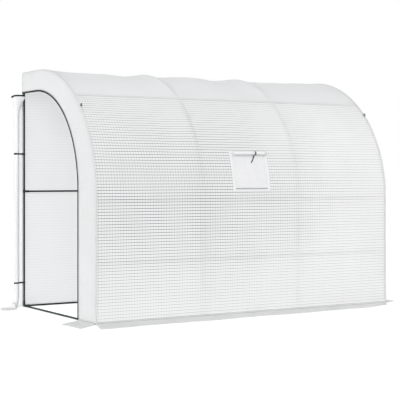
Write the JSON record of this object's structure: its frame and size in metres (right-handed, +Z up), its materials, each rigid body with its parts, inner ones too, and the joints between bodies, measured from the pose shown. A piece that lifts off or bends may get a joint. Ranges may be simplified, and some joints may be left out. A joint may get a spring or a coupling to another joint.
{
  "type": "lean-to polytunnel greenhouse",
  "caption": "Lean-to walk-in polytunnel with a steel hoop frame, a white woven cover, a curved front with a window, ground skirts and an arched doorway in each end.",
  "frame": {"origin": "on the ground, at the middle of the footprint with its skirts", "axes": "+X along the tunnel from the left end to the right end, +Y to the upright rear side, +Z up"},
  "size_m": [3.43, 1.7702, 2.118],
  "materials": {
    "frame_tube": "dark green powder coat on steel tube",
    "frame_fittings": "dark green powder coat",
    "woven_cover": "white translucent woven polyethylene with a square reinforcing grid",
    "window_film": "fine pale netting, part see-through",
    "zip_tape": "dark green zip on its tape",
    "black_strap": "black woven strap and cord"
  },
  "bodies": {
    "root": {"arch_joints": "frame_fittings", "front_cover_left": "woven_cover", "front_cover_middle": "woven_cover", "front_cover_right": "woven_cover", "front_ground_rails": "frame_tube", "front_low_rails": "frame_tube", "front_middle_rails": "frame_tube", "front_skirt": "woven_cover", "ground_fittings": "frame_fittings", "hoop_1_arch": "frame_tube", "hoop_1_front_post": "frame_tube", "hoop_1_rear_post": "frame_tube", "hoop_2_arch": "frame_tube", "hoop_2_front_post": "frame_tube", "hoop_2_rear_post": "frame_tube", "hoop_3_arch": "frame_tube", "hoop_3_front_post": "frame_tube", "hoop_3_rear_post": "frame_tube", "hoop_4_arch": "frame_tube", "hoop_4_front_post": "frame_tube", "hoop_4_rear_post": "frame_tube", "left_door_roll": "woven_cover", "left_door_skirt": "woven_cover", "left_door_ties": "black_strap", "left_door_zip": "zip_tape", "left_end_arch": "woven_cover", "left_end_skirt": "woven_cover", "left_end_strip": "woven_cover", "left_ground_rail": "frame_tube", "left_storm_loop": "black_strap", "rail_clips": "frame_fittings", "rear_cover_left": "woven_cover", "rear_cover_middle": "woven_cover", "rear_cover_right": "woven_cover", "rear_ground_rails": "frame_tube", "rear_middle_rails": "frame_tube", "rear_top_fittings": "frame_fittings", "rear_top_rails": "frame_tube", "right_door_roll": "woven_cover", "right_door_skirt": "woven_cover", "right_door_ties": "black_strap", "right_door_zip": "zip_tape", "right_end_arch": "woven_cover", "right_end_skirt": "woven_cover", "right_end_strip": "woven_cover", "right_ground_rail": "frame_tube", "right_storm_loop": "black_strap", "roof_cover_left": "woven_cover", "roof_cover_middle": "woven_cover", "roof_cover_right": "woven_cover", "roof_purlins": "frame_tube", "window_border": "woven_cover", "window_flap_roll": "woven_cover", "window_netting": "window_film", "window_tie": "black_strap"}
  },
  "joints": []
}
